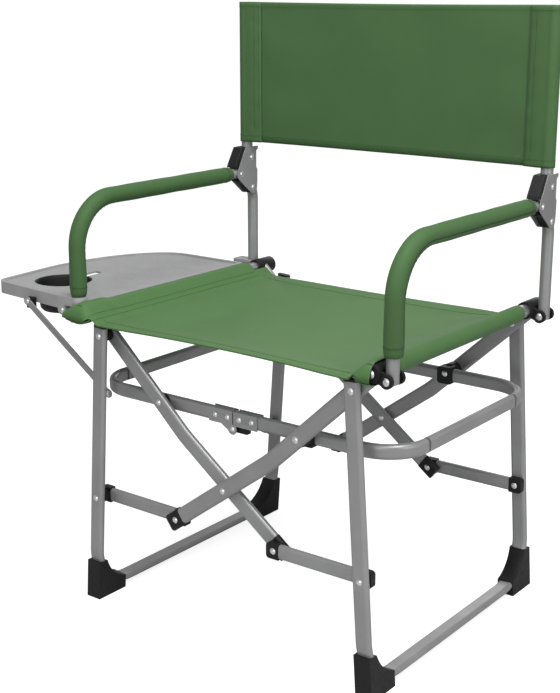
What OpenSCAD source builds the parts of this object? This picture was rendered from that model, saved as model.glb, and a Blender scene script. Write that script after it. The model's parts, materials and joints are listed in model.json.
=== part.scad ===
// Folding director chair with a fold-down side table.
// Millimetres, +Z up, origin on the floor in the middle of the four feet.
// The sitter faces -Y. "left" is the -X side, which carries the table.
// Each side is a tube frame, and two crossed tube pairs join the sides.
// Front and rear linkages lie in flat layers one behind the other.

/* [Main sizes] */
// Height of the seat tube axis above the floor
seat_z = 470; // [440:1:500]
// Distance of the seat tube axis from the middle
seat_x = 263; // [255:1:275]
// Height of the armrest tube axis
arm_z = 637; // [610:1:670]
// Height of the top edge of the back fabric
back_top = 923; // [860:1:960]
// Height of the bottom edge of the back fabric
back_bottom = 690; // [688:1:760]

/* [Side frames] */
// Distance of each floor rail from the middle
foot_x = 260; // [250:1:275]
// Half the depth of a side frame, to the leg axis
leg_y = 229; // [220:0.5:235]
// Wide side of the flat oval tube
tube_w = 25; // [22:0.5:26]
// Thin side of the flat oval tube
tube_t = 11; // [10:0.5:12]
// Bend radius at the foot of a side frame
foot_bend = 70; // [50:1:90]

/* [Arms and back] */
// Radius of the round arm tube
arm_r = 9; // [8.5:0.5:10.5]
// Distance of the arm tube from the middle
arm_x = 284.5; // [284:0.5:290]
// Radius of the front bend of the armrest
arm_bend = 75; // [60:1:90]
// Radius of the rear bend of the armrest
rear_bend = 50; // [40:1:60]
// Outside radius of the armrest sleeve
pad_r = 13; // [12:0.5:15]
// Radius of the back pole
pole_r = 9.5; // [8:0.5:10]

/* [Table] */
// Height of the table top
table_z = 476; // [474:1:480]
// Outer edge of the table from the middle
table_out = 536; // [520:1:545]
// Radius of the cup opening
cup_r = 48; // [38:1:50]
// Depth of the table apron
apron = 20; // [16:1:22]

/* [Hidden] */
$fn = 48;

steel = [0.50, 0.51, 0.52];
silver = [0.80, 0.80, 0.80];
black = [0.10, 0.10, 0.11];
green = [0.30, 0.48, 0.28];
dark_green = [0.22, 0.36, 0.20];
moulded = [0.58, 0.58, 0.59];

// Layers of the linkage, as distances from the middle plane
lay = [leg_y, leg_y - 11.7, leg_y - 23.4, leg_y - 40.5];
face_out = leg_y + tube_t / 2;

// Pivots as [distance from the middle, height]
cross = [0, 241];
bend = [85, 304];
top_slope = (seat_z - bend[1]) / (seat_x - bend[0]);
top_pivot = [230, bend[1] + (230 - bend[0]) * top_slope];
low_slope = (bend[1] - cross[1]) / bend[0];
low_joint = [93, cross[1] - 93 * low_slope];
lean = atan((foot_x - top_pivot[0]) / (top_pivot[1] - 14));
link_pivot = [foot_x - (173 - 14) * tan(lean), 173];
hoop_z = 345;
hoop_pivot = [132, bend[1] + 47 * top_slope];
mid_pivot = [0, hoop_z - 16];
arm_pivot = [arm_x, seat_z - 8];
front_post = 218;
rear_post = 211;
back_pivot = [196, arm_z + 25.5];
table_pivot = [312, 468];
brace_top = [426, 459];
brace_low = [250, 336];
hoop_x = 282;
hoop_t = 13;
saddle_y = hoop_t / 2 + 2.6;
hoop_h = 22;
hoop_r = 62;
pin = 3;
play = 0.05;

// ---------- shared shapes ----------

// Flat oval outline, wide along x and thin along y
module oval(w, t) {
    square([w - t, t], center = true);
    for (s = [-1, 1])
        translate([s * (w - t) / 2, 0])
            circle(d = t);
}

// Repeats a shape on the front and on the rear side
module front_and_rear() {
    for (k = [0, 1])
        mirror([0, k, 0])
            children();
}

// Puts a left-hand shape on the right-hand side
module other_side() {
    mirror([1, 0, 0])
        children();
}

// Flat oval bar from a to b, given as [x, z], in the plane y = yc
module bar(a, b, yc, w, t) {
    d = b - a;
    translate([a[0], yc, a[1]])
        rotate([0, atan2(d[0], d[1]), 0])
            linear_extrude(height = norm(d))
                oval(w, t);
}

// Flat piece between y0 and y1 whose outline is drawn in x and z
module slab(y0, y1) {
    translate([0, max(y0, y1), 0])
        rotate([90, 0, 0])
            linear_extrude(height = abs(y1 - y0))
                children();
}

// Round bar along y
module pin_y(p, y0, y1, r) {
    translate([p[0], y1, p[1]])
        rotate([90, 0, 0])
            cylinder(h = y1 - y0, r = r);
}

// Domed rivet head on the face at y, pointing along s
module head_y(p, y, s, head) {
    translate([p[0], y, p[1]])
        rotate([-90 * s, 0, 0])
            cylinder(h = 1.6, r1 = head, r2 = head * 0.55);
}

// Rivet along y with a domed head at each end
module rivet_y(p, y0, y1, r, head) {
    pin_y(p, y0, y1, r);
    head_y(p, y0, -1, head);
    head_y(p, y1, 1, head);
}

// Round bar along x
module pin_x(p, x0, x1, r) {
    translate([x0, p[0], p[1]])
        rotate([0, 90, 0])
            cylinder(h = x1 - x0, r = r);
}

// Rivet along x with a domed head at each end
module rivet_x(p, x0, x1, r, head) {
    pin_x(p, x0, x1, r);
    translate([x0, p[0], p[1]])
        rotate([0, -90, 0])
            cylinder(h = 1.6, r1 = head, r2 = head * 0.55);
    translate([x1, p[0], p[1]])
        rotate([0, 90, 0])
            cylinder(h = 1.6, r1 = head, r2 = head * 0.55);
}

// Left-hand point from a pivot given as [distance, height]
function lf(p) = [-p[0], p[1]];

// Point at distance d beyond b on the line from a to b
function beyond(a, b, d) = b + (b - a) / norm(b - a) * d;

// ---------- side frames ----------

// Bent part of a side frame in its own plane, foot rail at z = 0
module frame_bend(r, w, t) {
    translate([0, -leg_y + foot_bend, foot_bend])
        rotate([90, 0, 90])
            rotate([0, 0, 180])
                rotate_extrude(angle = 90)
                    translate([r, 0])
                        rotate(90)
                            oval(w, t);
}

module frame_body(w, t, top) {
    front_and_rear() {
        translate([0, -leg_y, foot_bend])
            linear_extrude(height = top - foot_bend)
                oval(w, t);
        frame_bend(foot_bend, w, t);
    }
    translate([0, leg_y - foot_bend, 0])
        rotate([90, 0, 0])
            linear_extrude(height = 2 * (leg_y - foot_bend))
                oval(w, t);
}

module lean_left() {
    translate([-foot_x, 0, 14])
        rotate([0, lean, 0])
            children();
}

frame_top = (top_pivot[1] - 14) / cos(lean) + 13;

module leg_frame_left() {
    color(steel)
        difference() {
            lean_left()
                frame_body(tube_w, tube_t, frame_top);
            front_and_rear()
                for (p = [top_pivot, link_pivot])
                    pin_y(lf(p), -face_out - 1, -face_out + tube_t + 1, pin + play);
        }
}

module leg_frame_right() {
    color(steel)
        other_side()
            difference() {
                lean_left()
                    frame_body(tube_w, tube_t, frame_top);
                front_and_rear()
                    for (p = [top_pivot, link_pivot])
                        pin_y(lf(p), -face_out - 1, -face_out + tube_t + 1, pin + play);
            }
}

// Corner block that squares off the foot bend
foot_w = 27.4;
foot_wall = 1.5;

module foot_block() {
    intersection() {
        lean_left()
            difference() {
                translate([-foot_w / 2, -leg_y - tube_t / 2 - foot_wall, -20])
                    cube([foot_w, 60, 84]);
                frame_bend(foot_bend, tube_w + 0.1, tube_t + 0.1);
                translate([0, -leg_y, foot_bend - 0.01])
                    linear_extrude(height = 60)
                        oval(tube_w + 0.1, tube_t + 0.1);
                translate([-20, -leg_y + foot_bend, foot_bend])
                    rotate([0, 90, 0])
                        cylinder(h = 40, r = foot_bend - tube_t / 2 - foot_wall);
            }
        translate([-foot_x - 40, -leg_y - 20, 0])
            cube([80, 100, 64]);
    }
}

module feet_left() {
    color(black)
        front_and_rear()
            foot_block();
}

module feet_right() {
    color(black)
        other_side()
            front_and_rear()
                foot_block();
}

module leg_plugs_left() {
    color(black)
        front_and_rear()
            lean_left()
                translate([0, -leg_y, frame_top + 0.05])
                    linear_extrude(height = 3)
                        oval(tube_w, tube_t);
}

module leg_plugs_right() {
    color(black)
        other_side()
            front_and_rear()
                lean_left()
                    translate([0, -leg_y, frame_top + 0.05])
                        linear_extrude(height = 3)
                            oval(tube_w, tube_t);
}

// Pins through leg, spacer and the tube or link in the third layer
module leg_rivets_left() {
    color(silver)
        front_and_rear()
            for (p = [top_pivot, link_pivot])
                rivet_y(lf(p), -face_out, -lay[2] + tube_t / 2 + 0.2, pin, 5);
}

// Pins through leg and the tube or link in the second layer
module leg_rivets_right() {
    color(silver)
        other_side()
            front_and_rear()
                for (p = [top_pivot, link_pivot])
                    rivet_y(lf(p), -face_out, -lay[1] + tube_t / 2 + 0.2, pin, 5);
}

module leg_spacers_left() {
    color(black)
        front_and_rear()
            for (p = [top_pivot, link_pivot])
                difference() {
                    pin_y(lf(p), -lay[1] - tube_t / 2 - 0.2, -lay[1] + tube_t / 2 + 0.2, 10);
                    pin_y(lf(p), -lay[0], -lay[2], pin + play);
                }
}

// ---------- links between legs and crossed tubes ----------

link_cap = 10;
tube_cap = 14;

module link_bar(k) {
    a = lf(link_pivot);
    b = lf(low_joint);
    bar(beyond(b, a, -link_cap), beyond(a, b, -link_cap), -lay[k], 22, tube_t);
}

// Flat cap outline along x, from x = -back to x = front, with two rounded corners
module cap_outline(back, front, w, r) {
    translate([-back, -w / 2])
        square([back + front - r, w]);
    translate([-back, -w / 2 + r])
        square([back + front, w - 2 * r]);
    for (k = [-1, 1])
        translate([front - r, k * (w / 2 - r)])
            circle(r = r);
}

// Cap over the end b of a link that comes from a
module link_end(a, b, k) {
    d = b - a;
    difference() {
        slab(-lay[k] - tube_t / 2 - 0.15, -lay[k] + tube_t / 2 + 0.15)
            translate(b)
                rotate(atan2(d[1], d[0]))
                    cap_outline(link_cap - 0.1, 12, 24, 5);
        pin_y(b, -lay[k] - 10, -lay[k] + 10, pin + play);
    }
}

module link_caps(k) {
    front_and_rear() {
        link_end(lf(low_joint), lf(link_pivot), k);
        link_end(lf(link_pivot), lf(low_joint), k);
    }
}

module links_left() {
    color(steel)
        front_and_rear()
            link_bar(2);
}

module links_right() {
    color(steel)
        other_side()
            front_and_rear()
                link_bar(1);
}

module link_caps_left() {
    color(black)
        link_caps(2);
}

module link_caps_right() {
    color(black)
        other_side()
            link_caps(1);
}

// Rivet end held by the link alone at the crossed tube
module link_rivets_left() {
    color(silver)
        front_and_rear() {
            pin_y(lf(low_joint), -lay[2] - tube_t / 2 - 0.1, -lay[2] + tube_t / 2 + 0.2, pin);
            translate([-low_joint[0], -lay[2] + tube_t / 2 + 0.2, low_joint[1]])
                rotate([-90, 0, 0])
                    cylinder(h = 1.6, r1 = 5, r2 = 2.8);
        }
}

module link_rivets_right() {
    color(silver)
        other_side()
            front_and_rear() {
                pin_y(lf(low_joint), -lay[1] - tube_t / 2 - 0.2, -lay[1] + tube_t / 2 + 0.1, pin);
                translate([-low_joint[0], -lay[1] - tube_t / 2 - 0.2, low_joint[1]])
                    rotate([90, 0, 0])
                        cylinder(h = 1.6, r1 = 5, r2 = 2.8);
            }
}

// ---------- crossed tubes ----------

bend_r = 120;
low_angle = atan(low_slope);
top_angle = atan(top_slope);
turn = top_angle - low_angle;
bend_len = bend_r * tan(turn / 2);
low_dir = [-cos(low_angle), sin(low_angle)];
top_dir = [-cos(top_angle), sin(top_angle)];
joint_r = 13.5;

// One crossed tube that rises from the middle to the left, in layer k
module scissor_tube(k) {
    v = lf(bend);
    a = v - low_dir * bend_len;
    b = v + top_dir * bend_len;
    c = a + [low_dir[1], -low_dir[0]] * bend_r;
    low_end = [low_joint[0], low_joint[1]] + low_dir * tube_cap;
    difference() {
        union() {
            bar(low_end, a + low_dir * 2.5, -lay[k], tube_w, tube_t);
            bar(b - top_dir * 2.5, lf([seat_x, seat_z]), -lay[k], tube_w, tube_t);
            translate([c[0], -lay[k], c[1]])
                rotate([90, 0, 0])
                    rotate([0, 0, 270 - top_angle])
                        rotate_extrude(angle = turn)
                            translate([bend_r, 0])
                                oval(tube_w + 0.12, tube_t + 0.12);
        }
        pin_y(lf([seat_x, seat_z]), -lay[k] - 10, -lay[k] + 10, joint_r + 0.1);
        for (p = [lf(top_pivot), cross, lf(hoop_pivot)])
            pin_y(p, -lay[k] - 10, -lay[k] + 10, pin + play);
    }
}

// Black cap over the lower end of a crossed tube
module scissor_cap(k) {
    p = [low_joint[0], low_joint[1]];
    difference() {
        bar(p + low_dir * (tube_cap - 0.1), p - low_dir * 15, -lay[k], 27, tube_t + 0.3);
        pin_y(p, -lay[k] - 10, -lay[k] + 10, pin + play);
    }
}

module scissor_tubes_left() {
    color(steel)
        front_and_rear()
            scissor_tube(2);
}

module scissor_tubes_right() {
    color(steel)
        other_side()
            front_and_rear()
                scissor_tube(1);
}

module scissor_caps_left() {
    color(black)
        front_and_rear()
            scissor_cap(2);
}

module scissor_caps_right() {
    color(black)
        other_side()
            front_and_rear()
                scissor_cap(1);
}

// Rivet end in one tube: a short pin with a head on the side given by s
module end_rivet(p, k, s) {
    pin_y(p, -lay[k] - tube_t / 2 - (s < 0 ? 0.2 : -0.1), -lay[k] + tube_t / 2 + (s < 0 ? -0.1 : 0.2), pin);
    translate([p[0], -lay[k] + s * (tube_t / 2 + 0.2), p[1]])
        rotate([-90 * s, 0, 0])
            cylinder(h = 1.6, r1 = 5, r2 = 2.8);
}

// Crossing pins, hoop rivet ends and lower rivet ends
module scissor_rivets_left() {
    color(silver)
        front_and_rear() {
            rivet_y(cross, -lay[1] - tube_t / 2, -lay[2] + tube_t / 2, pin, 5);
            end_rivet(lf(hoop_pivot), 2, -1);
            end_rivet(low_joint, 2, 1);
        }
}

// Pins through tube, saddle and hoop, and lower rivet ends
module scissor_rivets_right() {
    color(silver)
        other_side()
            front_and_rear() {
                rivet_y(lf(hoop_pivot), -lay[1] - tube_t / 2, -lay[3] + saddle_y, pin, 5);
                end_rivet(low_joint, 1, -1);
            }
}

// ---------- seat tubes and their end joints ----------

seat_r = 10;
seat_front = 239;
joint_in = 17.5;
joint_out = 20.5;

module seat_tube() {
    difference() {
        pin_y(lf([seat_x, seat_z]), -front_post - joint_in, rear_post + joint_in, seat_r);
        for (y = [-front_post, rear_post])
            pin_y(lf(arm_pivot), y - 11.5, y + 11.5, arm_r + 0.3);
    }
}

module seat_tube_left() {
    color(silver)
        seat_tube();
}

module seat_tube_right() {
    color(silver)
        other_side()
            seat_tube();
}

// Ear of a joint, round the arm pivot and into the collar
module joint_ear(y) {
    reach = arm_pivot[0] - seat_x;
    slab(y - 2.5, y + 2.5)
        translate(lf(arm_pivot)) {
            circle(r = 9.8);
            rotate(atan2(seat_z - arm_pivot[1], reach))
                translate([0, -8.5])
                    square([reach, 17]);
        }
}

// Collar on the end of the seat tube, closed on side s, with two ears for the post at y = yp
module seat_joint(yp, s) {
    y0 = min(yp + s * joint_out, yp - s * 23);
    y1 = max(yp + s * joint_out, yp - s * 23);
    difference() {
        union() {
            pin_y(lf([seat_x, seat_z]), y0, y1, joint_r);
            for (k = [-14, 14])
                joint_ear(yp + k);
        }
        pin_y(
            lf([seat_x, seat_z]),
            s < 0 ? yp - joint_in : y0 - 1, s < 0 ? y1 + 1 : yp + joint_in, seat_r + play
        );
        pin_y(lf(arm_pivot), yp - 20, yp + 20, 3.5 + play);
        translate([-arm_x - 20, yp - 11.3, arm_pivot[1] - 12])
            cube([20 + arm_r + 0.6, 22.6, 42]);
    }
}

module seat_joints_left() {
    color(black) {
        seat_joint(-front_post, -1);
        seat_joint(rear_post, 1);
    }
}

module seat_joints_right() {
    color(black)
        other_side() {
            seat_joint(-front_post, -1);
            seat_joint(rear_post, 1);
        }
}

// Pins of both joints and a domed stud in the end of each collar
module joint_rivets() {
    for (y = [-front_post, rear_post])
        rivet_y(lf(arm_pivot), y - 16.6, y + 16.6, 3.5, 5.5);
    head_y(lf([seat_x, seat_z]), -front_post - joint_out, -1, 6.5);
    head_y(lf([seat_x, seat_z]), rear_post + joint_out, 1, 6.5);
}

module joint_rivets_left() {
    color(silver)
        joint_rivets();
}

module joint_rivets_right() {
    color(silver)
        other_side()
            joint_rivets();
}

// ---------- folding hoop ----------

module hoop_half() {
    side = leg_y - 45 - hoop_r;
    difference() {
        union() {
            front_and_rear() {
                translate([-1, -lay[3], hoop_z])
                    rotate([0, -90, 0])
                        linear_extrude(height = hoop_x - hoop_r - 1)
                            oval(hoop_h, hoop_t);
                translate([-hoop_x + hoop_r, -lay[3] + hoop_r, hoop_z])
                    rotate([0, 0, 180])
                        rotate_extrude(angle = 90)
                            translate([hoop_r, 0])
                                rotate(90)
                                    oval(hoop_h, hoop_t);
            }
            translate([-hoop_x, side, hoop_z])
                rotate([90, 0, 0])
                    linear_extrude(height = 2 * side)
                        rotate(90)
                            oval(hoop_h, hoop_t);
        }
        front_and_rear() {
            pin_y(lf(hoop_pivot), -lay[3] - 10, -lay[3] + 10, pin + play);
            for (x = [-11, -34])
                pin_y([x, hoop_z], -lay[3] - 10, -lay[3] + 10, 2.5 + play);
        }
    }
}

module hoop_left() {
    color(steel)
        hoop_half();
}

module hoop_right() {
    color(steel)
        other_side()
            hoop_half();
}

// Sheet metal plates on both faces of a hoop rail beside the middle hinge
boss_h = 1.2;

// Both plates of one hoop half; with tab, each has a lug and a boss round the middle pivot
module hoop_plate(tab) {
    for (s = [-1, 1]) {
        y0 = -lay[3] + s * (hoop_t / 2 + 0.1);
        y1 = y0 + s * 1.5;
        y2 = y1 + s * boss_h;
        difference() {
            union() {
                slab(y0, y1) {
                    translate([-45, hoop_z - 11])
                        square([44, 22]);
                    if (tab)
                        polygon([
                            [-24, hoop_z - 10], [-1.2, hoop_z - 10], [0, mid_pivot[1] + 4.9],
                            [0, mid_pivot[1] - 4.9], [-6, mid_pivot[1] - 4.4]
                        ]);
                }
                if (tab) {
                    slab(y0, y2)
                        translate(mid_pivot)
                            circle(r = 4.9);
                    slab(y1, y2)
                        translate(mid_pivot)
                            circle(r = 8);
                }
            }
            for (x = [-11, -34])
                pin_y([x, hoop_z], min(y0, y2) - 1, max(y0, y2) + 1, 2.5 + play);
            pin_y(mid_pivot, min(y0, y2) - 1, max(y0, y2) + 1, 2.5 + play);
        }
    }
}

module hoop_plates_left() {
    color(steel)
        front_and_rear()
            hoop_plate(true);
}

module hoop_plates_right() {
    color(steel)
        other_side()
            front_and_rear()
                hoop_plate(false);
}

module plate_rivets() {
    for (x = [-11, -34])
        rivet_y([x, hoop_z], -lay[3] - hoop_t / 2 - 1.6, -lay[3] + hoop_t / 2 + 1.6, 2.5, 4.5);
}

module hoop_rivets_left() {
    color(silver)
        front_and_rear()
            plate_rivets();
}

// Right plates' rivets and the middle hinge pins
module hoop_rivets_right() {
    color(silver)
        front_and_rear() {
            other_side()
                plate_rivets();
            rivet_y(mid_pivot, -lay[3] - hoop_t / 2 - 1.6 - boss_h, -lay[3] + hoop_t / 2 + 1.6 + boss_h, 2.5, 4.5);
        }
}

// Tongues under the right half that turn between the left plates
module hoop_tongues() {
    color(black)
        front_and_rear()
            difference() {
                translate([0, -lay[3] + 5, 0])
                    rotate([90, 0, 0])
                        linear_extrude(height = 10) {
                            translate(mid_pivot)
                                circle(r = 4.9);
                            translate([0, mid_pivot[1] - 4.9])
                                square([24, 9.8]);
                        }
                pin_y(mid_pivot, -lay[3] - 8, -lay[3] + 8, 2.5 + play);
            }
}

// Rectangle of w by h with all four corners rounded
module block_outline(w, h, r) {
    square([w - 2 * r, h], center = true);
    square([w, h - 2 * r], center = true);
    for (a = [-1, 1], b = [-1, 1])
        translate([a * (w / 2 - r), b * (h / 2 - r)])
            circle(r = r);
}

// Clamps round the right hoop half, against the right crossed tubes
module hoop_saddles() {
    y0 = -lay[1] + tube_t / 2 + 0.2;
    color(black)
        other_side()
            front_and_rear()
                difference() {
                    union() {
                        pin_y(lf(hoop_pivot), y0, -lay[3] - 4, 13.4);
                        slab(-lay[3] - saddle_y, -lay[3] + saddle_y)
                            translate([-hoop_pivot[0], hoop_z])
                                block_outline(27, 28, 5);
                    }
                    translate([-hoop_pivot[0] + 20, -lay[3], hoop_z])
                        rotate([0, -90, 0])
                            linear_extrude(height = 40)
                                oval(hoop_h + 0.1, hoop_t + 0.1);
                    pin_y(lf(hoop_pivot), y0 - 1, -lay[3] + 20, pin + play);
                }
}

// Washers between the left crossed tubes and the left hoop half
module hoop_washers() {
    y0 = -lay[2] + tube_t / 2 + 0.2;
    y1 = -lay[3] - hoop_t / 2 - 0.05;
    color(black)
        front_and_rear() {
            difference() {
                pin_y(lf(hoop_pivot), y0, y1, 10);
                pin_y(lf(hoop_pivot), y0 - 1, y1 + 1, pin + play);
            }
            end_pin = -lay[3] + hoop_t / 2;
            pin_y(lf(hoop_pivot), y0, end_pin, pin);
            translate([-hoop_pivot[0], end_pin, hoop_pivot[1]])
                rotate([-90, 0, 0])
                    cylinder(h = 1.6, r1 = 5, r2 = 2.8);
        }
}

// ---------- arms ----------

front_turn = [-front_post + arm_bend, arm_z - arm_bend];
rear_turn = [rear_post - rear_bend, arm_z - rear_bend];

// Quarter bend of a round section about [y, z], starting at angle a
module arm_arc(c, r, a) {
    translate([-arm_x, c[0], c[1]])
        rotate([90, 0, 90])
            rotate([0, 0, a])
                rotate_extrude(angle = 90)
                    translate([r, 0])
                        children();
}

// Post with a lower end rounded about the pivot
module post(yp, top) {
    z0 = arm_pivot[1];
    translate([-arm_x, yp, z0])
        cylinder(h = top - z0, r = arm_r);
    intersection() {
        translate([-arm_x, yp, z0 - 20])
            cylinder(h = 20, r = arm_r);
        pin_y(lf(arm_pivot), yp - 20, yp + 20, arm_r);
    }
}

module arm_tube() {
    difference() {
        union() {
            post(-front_post, front_turn[1]);
            post(rear_post, rear_turn[1]);
            arm_arc(front_turn, arm_bend, 90)
                circle(r = arm_r);
            arm_arc(rear_turn, rear_bend, 0)
                circle(r = arm_r);
            translate([-arm_x, front_turn[0], arm_z])
                rotate([-90, 0, 0])
                    cylinder(h = rear_turn[0] - front_turn[0], r = arm_r);
        }
        for (y = [-front_post, rear_post])
            pin_y(lf(arm_pivot), y - 12, y + 12, 3.5 + play);
        for (p = [plate_front, plate_low])
            pin_x(p, -arm_x - 20, -arm_x + 20, pin + play);
    }
}

module arm_tube_left() {
    color(steel)
        arm_tube();
}

module arm_tube_right() {
    color(steel)
        other_side()
            arm_tube();
}

// Fabric sleeve over the front post, the bend and the armrest
module arm_pad() {
    r0 = arm_r + play;
    difference() {
        union() {
            translate([-arm_x, -front_post, 492])
                cylinder(h = front_turn[1] - 492, r = pad_r);
            arm_arc(front_turn, arm_bend, 90)
                circle(r = pad_r);
            translate([-arm_x, front_turn[0], arm_z])
                rotate([-90, 0, 0])
                    cylinder(h = 146 - front_turn[0], r = pad_r);
        }
        translate([-arm_x, -front_post, 480])
            cylinder(h = front_turn[1] - 480, r = r0);
        arm_arc(front_turn, arm_bend, 90)
            circle(r = r0);
        translate([-arm_x, front_turn[0], arm_z])
            rotate([-90, 0, 0])
                cylinder(h = 170 - front_turn[0], r = r0);
    }
}

module arm_pad_left() {
    color(green)
        arm_pad();
}

module arm_pad_right() {
    color(green)
        other_side()
            arm_pad();
}

// ---------- back hinges ----------

plate_front = [168, arm_z - 1];
plate_low = [199, arm_z - 27];
plate_gap = arm_r + 0.6;

module plate_outline() {
    translate(plate_front)
        circle(r = 11.5);
    translate(plate_low)
        circle(r = 10.5);
    polygon([
        [179, arm_z + 44], [212, arm_z + 44], [212, arm_z + 39], [207.5, arm_z + 36],
        [207.5, arm_z + 8], [210.5, arm_z + 3], [210.5, arm_z - 17], [209.4, arm_z - 27],
        [191, arm_z - 34], [159.8, arm_z - 9], [157, arm_z + 3]
    ]);
}

// Two steel side plates that carry the back pole
module back_plates() {
    for (x = [-arm_x - plate_gap - 1.5, -arm_x + plate_gap])
        difference() {
            translate([x, 0, 0])
                rotate([90, 0, 90])
                    linear_extrude(height = 1.5)
                        plate_outline();
            for (p = [plate_front, plate_low, back_pivot])
                pin_x(p, x - 1, x + 3, pin + play);
        }
}

module back_plates_left() {
    color(steel)
        back_plates();
}

module back_plates_right() {
    color(steel)
        other_side()
            back_plates();
}

// Black channel in front of the pole, between the plates
module back_housing() {
    w = 2 * plate_gap - 0.2;
    difference() {
        translate([-arm_x - w / 2, 0, 0])
            rotate([90, 0, 90])
                linear_extrude(height = w)
                    polygon([
                        [170, arm_z + 44], [185, arm_z + 44], [185, arm_z + 30],
                        [176, arm_z + 11], [151, arm_z + 11], [153, arm_z + 16]
                    ]);
        pin_x(back_pivot, -arm_x - 20, -arm_x + 20, pole_r + 1.6);
        translate([-arm_x, 160, 0])
            rotate([17, 0, 0])
                cylinder(h = 900, r = 4.5);
    }
}

// Curved release lever under the rear bend
module back_lever() {
    r = rear_bend - arm_r - 1;
    translate([-arm_x, rear_turn[0], rear_turn[1]])
        rotate([90, 0, 90])
            rotate([0, 0, 22])
                rotate_extrude(angle = 66)
                    translate([r - 4, -7])
                        square([4, 14]);
}

module back_housing_left() {
    color(black) {
        back_housing();
        back_lever();
    }
}

module back_housing_right() {
    color(black)
        other_side() {
            back_housing();
            back_lever();
        }
}

// Two rivets through plates and tube, and the back pivot pin
module back_rivets() {
    for (p = [plate_front, plate_low, back_pivot])
        rivet_x(p, -arm_x - plate_gap - 1.5, -arm_x + plate_gap + 1.5, pin, 5);
}

module back_rivets_left() {
    color(silver)
        back_rivets();
}

module back_rivets_right() {
    color(silver)
        other_side()
            back_rivets();
}

module back_pole() {
    difference() {
        union() {
            translate([-arm_x, back_pivot[0], back_pivot[1]])
                cylinder(h = back_top - 6 - back_pivot[1], r = pole_r);
            intersection() {
                translate([-arm_x, back_pivot[0], back_pivot[1] - 20])
                    cylinder(h = 20, r = pole_r);
                pin_x(back_pivot, -arm_x - 20, -arm_x + 20, pole_r);
            }
        }
        pin_x(back_pivot, -arm_x - 20, -arm_x + 20, pin + play);
    }
}

module back_pole_left() {
    color(steel)
        back_pole();
}

module back_pole_right() {
    color(steel)
        other_side()
            back_pole();
}

// ---------- fabric ----------

// Seat fabric between the two sleeves
module seat_panel() {
    x = 226;
    z = seat_z - 13.5;
    color(green) {
        translate([0, 197, 0])
            rotate([90, 0, 0])
                linear_extrude(height = 417)
                    polygon([
                        [-x, z + 2], [-x, z], [-120, z - 1.5], [0, z - 2], [120, z - 1.5], [x, z],
                        [x, z + 2], [120, z + 0.5], [0, z], [-120, z + 0.5]
                    ]);
        for (s = [0, 1])
            mirror([s, 0, 0])
                translate([0, 193, 0])
                    rotate([90, 0, 0])
                        linear_extrude(height = 386)
                            polygon([[-seat_x + 13, z + 7], [-seat_x + 13, z + 5], [-x, z], [-x, z + 2]]);
    }
}

// Sleeve around the seat tube, open on the outside beside the front collar
module seat_sleeve() {
    c = lf([seat_x, seat_z]);
    difference() {
        pin_y(c, -195 + 0.2, 166, seat_r + 1.6);
        pin_y(c, -196, 168, seat_r + play);
    }
    difference() {
        pin_y(c, -seat_front, -195, joint_r + 1.6);
        pin_y(c, -seat_front - 1, -194, joint_r + 0.1);
        translate([c[0] - 20, -seat_front - 2, c[1] - 20])
            cube([20, 50, 40]);
        translate([c[0] - 1, -seat_front - 2, c[1] - 20])
            cube([20, 50, 26]);
    }
}

module seat_sleeve_left() {
    color(green)
        seat_sleeve();
}

module seat_sleeve_right() {
    color(green)
        other_side()
            seat_sleeve();
}

// Back fabric with a sleeve round each pole
module back_panel() {
    color(dark_green)
        difference() {
            translate([0, back_pivot[0], back_bottom])
                linear_extrude(height = back_top - back_bottom) {
                    for (s = [-1, 1])
                        translate([s * arm_x, 0])
                            circle(r = pole_r + 2);
                    translate([-arm_x, -pole_r - 2])
                        square([2 * arm_x, 2]);
                }
            for (s = [-1, 1])
                translate([s * arm_x, back_pivot[0], back_bottom - 1])
                    cylinder(h = back_top - 5 - back_bottom, r = pole_r + 0.1);
        }
}

// ---------- table ----------

table_in = 288;
table_front = 198.5;
table_rear = 187;
cup_at = [-446, -97];
front_corner = [-503, -152];
rear_sweep = [116, 227];

// Outline of the tray, inset by d: slanted front edge, round front corner, swept rear corner
module table_outline(d) {
    c = [-table_out + rear_sweep[0], table_rear - rear_sweep[1]];
    polygon(concat(
        [[-table_in - d, -table_front + d], [-table_in - d, table_rear - d]],
        [for (t = [90:-6:0]) c + [-(rear_sweep[0] - d) * cos(t), (rear_sweep[1] - d) * sin(t)]],
        [[front_corner[0] - 24 + d, front_corner[1]], [front_corner[0], front_corner[1] - 24 + d]]
    ));
    translate(front_corner)
        circle(r = 24 - d);
}

// Cup opening with a slot towards the rear
module cup_opening(r) {
    translate(cup_at) {
        circle(r = r);
        polygon([[-9, 0], [9, 0], [9, r + 32], [4, r + 37], [-9, r + 37]]);
    }
}

// Moulded tray with a raised rim and a hanging apron
module table_top() {
    color(moulded)
        difference() {
            translate([0, 0, table_z - apron])
                linear_extrude(height = apron)
                    table_outline(0);
            translate([0, 0, table_z - 3])
                linear_extrude(height = 5)
                    table_outline(6);
            translate([0, 0, table_z - apron - 1])
                linear_extrude(height = apron - 5.5)
                    table_outline(4);
            translate([0, 0, table_z - apron - 1])
                linear_extrude(height = apron + 2)
                    cup_opening(cup_r);
            pin_y(lf(table_pivot), -table_front - 20, table_rear + 20, pin + play);
            pin_y(lf(brace_top), -table_front - 20, -table_front + 40, 2.5 + play);
        }
}

// Cup hanging in the opening, with a lip below the tray
module cup_holder() {
    r0 = cup_r - 0.6;
    r1 = cup_r - 8;
    depth = 48;
    color(black)
        translate([cup_at[0], cup_at[1], table_z - 3.5 - depth])
            rotate_extrude()
                polygon([
                    [0, 0], [r1 - 4, 0], [r1, 4], [r0, depth], [r0 - 2, depth],
                    [r1 - 2, 5], [r1 - 5, 2], [0, 2]
                ]);
}

bracket_r = 12.5;

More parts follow.
